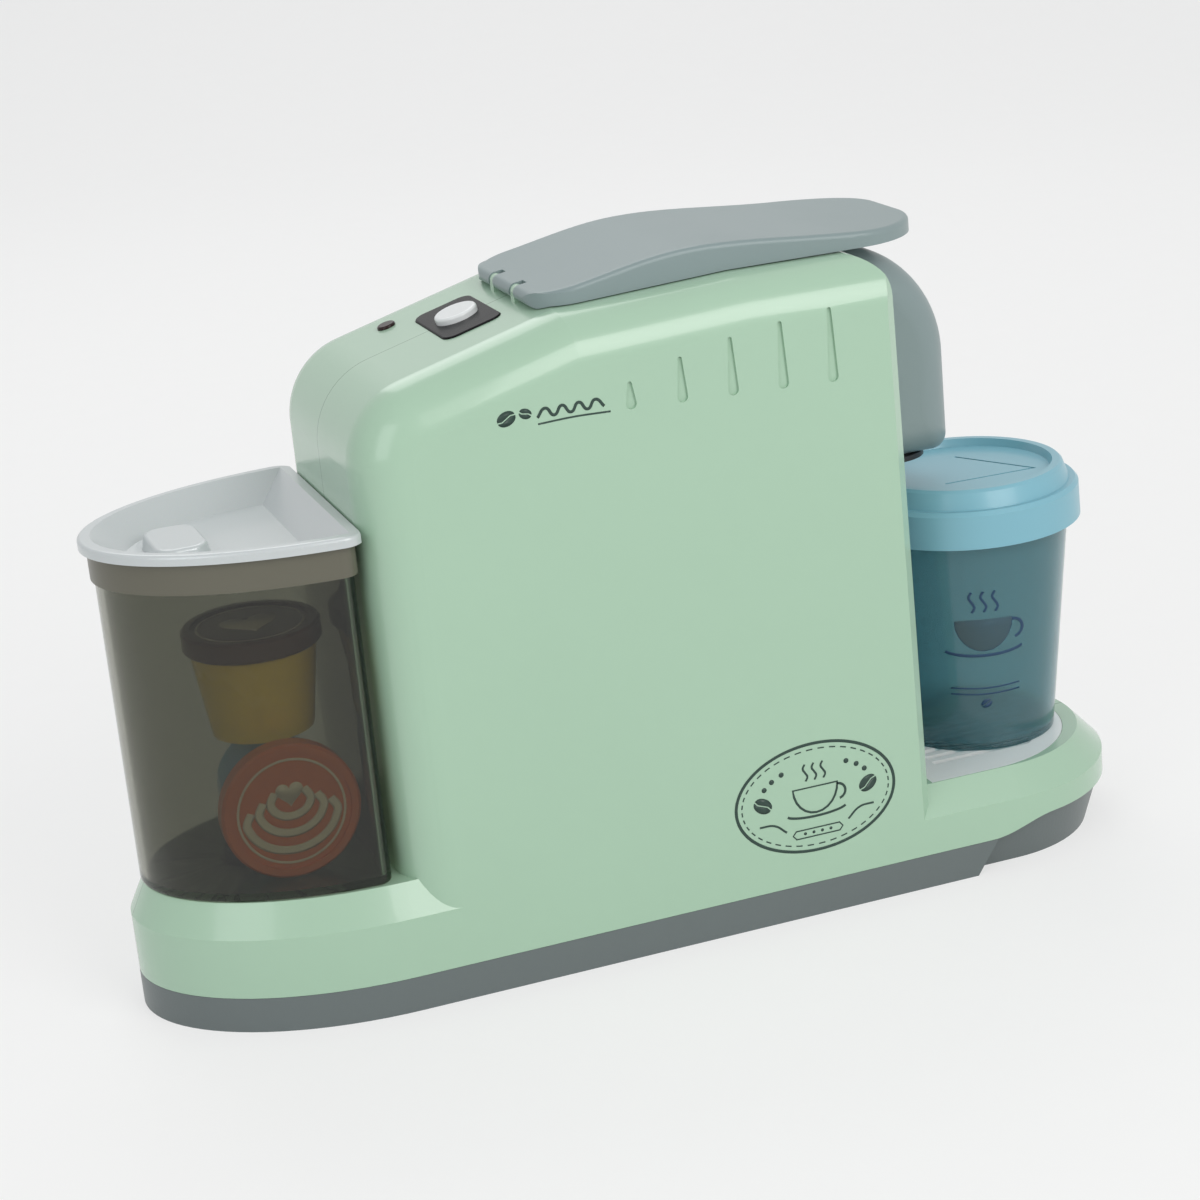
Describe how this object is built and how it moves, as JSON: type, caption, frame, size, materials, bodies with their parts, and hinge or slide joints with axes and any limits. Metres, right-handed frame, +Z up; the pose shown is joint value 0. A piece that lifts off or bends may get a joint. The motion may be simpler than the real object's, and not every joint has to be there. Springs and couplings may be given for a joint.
{
  "type": "toy coffee maker",
  "caption": "Toy pod coffee maker with a lift-off water tank, a hinged capsule lever, a press button, a drip tray and a cup with a lid.",
  "frame": {"origin": "on the surface the toy stands on, below the centre of its overall box", "axes": "+X towards the cup end, +Y to the machine's left side, +Z up"},
  "size_m": [0.294, 0.087, 0.1919],
  "materials": {
    "mint_plastic": "gloss",
    "slate_plastic": "satin",
    "grey_plastic": "satin",
    "niche_plastic": "satin",
    "white_plastic": "gloss",
    "lid_silver": "satin",
    "collar_taupe": "satin",
    "tank_smoke": "gloss",
    "cup_teal": "gloss",
    "cup_lid_blue": "satin",
    "panel_black": "gloss",
    "nozzle_black": "satin",
    "inner_plastic": "satin",
    "seal_rubber": "matte",
    "pad_rubber": "matte",
    "tube_clear": "gloss",
    "steel": "satin",
    "motor_steel": "satin",
    "contact_nickel": "satin",
    "board_green": "satin",
    "cell_jacket": "gloss",
    "speaker_black": "matte",
    "wire_red": "satin",
    "wire_black": "satin",
    "capsule_yellow": "gloss",
    "capsule_blue": "gloss",
    "capsule_red": "gloss",
    "cap_brown": "gloss",
    "cap_orange": "gloss",
    "cap_purple": "gloss"
  },
  "bodies": {
    "machine": {"right_shell": "mint_plastic", "left_shell": "mint_plastic", "base_plate": "grey_plastic", "battery_door": "grey_plastic", "battery_door_screw": "steel", "base_screws": "steel", "shell_screws": "steel", "batteries": "cell_jacket", "battery_contacts": "contact_nickel", "circuit_board": "board_green", "board_screws": "steel", "speaker": "speaker_black", "pump_housing": "inner_plastic", "pump_cover": "inner_plastic", "pump_motor": "motor_steel", "inlet_tube": "tube_clear", "outlet_tube": "tube_clear", "dock_socket": "inner_plastic", "spout_housing": "slate_plastic", "nozzle": "nozzle_black", "niche_panel": "niche_plastic", "chamber_deck": "slate_plastic", "capsule_chamber": "nozzle_black", "lever_pin": "steel", "control_panel": "panel_black", "button_pad": "pad_rubber", "button_board": "board_green", "indicator_lens": "panel_black", "red_capsule": "capsule_red", "red_capsule_cap": "cap_purple", "motor_lead": "wire_red", "speaker_lead": "wire_black", "button_lead": "wire_red", "battery_lead": "wire_black"},
    "lever_arm": {"lever": "slate_plastic", "capsule_plunger": "slate_plastic"},
    "button": {"power_button": "white_plastic"},
    "tank": {"water_tank": "tank_smoke", "tank_collar": "collar_taupe", "tank_seal": "seal_rubber", "yellow_capsule": "capsule_yellow", "yellow_capsule_cap": "cap_brown", "blue_capsule": "capsule_blue", "blue_capsule_cap": "cap_orange"},
    "tank_cover": {"tank_lid": "lid_silver"},
    "tray": {"drip_tray": "white_plastic"},
    "drinking_cup": {"cup": "cup_teal"},
    "drinking_cup_lid": {"cup_lid": "cup_lid_blue"},
    "rotor": {"motor_shaft": "steel", "pump_impeller": "white_plastic"}
  },
  "joints": [
    {"name": "lever_hinge", "type": "hinge", "parent": "machine", "child": "lever_arm", "pos_m": [-0.0215, 0, 0.1832], "axis": [0, -1, 0], "range_deg": [0, 80]},
    {"name": "power_button_press", "type": "slide", "parent": "machine", "child": "button", "axis": [0.2607, 0, -0.9654], "range_m": [0, 0.0015], "stiffness_N_per_m": 300},
    {"name": "tank_lift", "type": "slide", "parent": "machine", "child": "tank", "axis": [0, 0, 1], "range_m": [0, 0.05]},
    {"name": "tank_lid_lift", "type": "slide", "parent": "tank", "child": "tank_cover", "axis": [0, 0, 1], "range_m": [0, 0.04]},
    {"name": "drip_tray_lift", "type": "slide", "parent": "machine", "child": "tray", "axis": [0, 0, 1], "range_m": [0, 0.004]},
    {"name": "cup_slide", "type": "slide", "parent": "tray", "child": "drinking_cup", "axis": [1, 0, 0], "range_m": [0, 0.08]},
    {"name": "cup_lid_lift", "type": "slide", "parent": "drinking_cup", "child": "drinking_cup_lid", "axis": [0, 0, 1], "range_m": [0, 0.005]},
    {"name": "pump_impeller_spin", "type": "hinge", "parent": "machine", "child": "rotor", "pos_m": [-0.05, 0, 0.012], "axis": [0, 0, 1], "continuous": true}
  ]
}
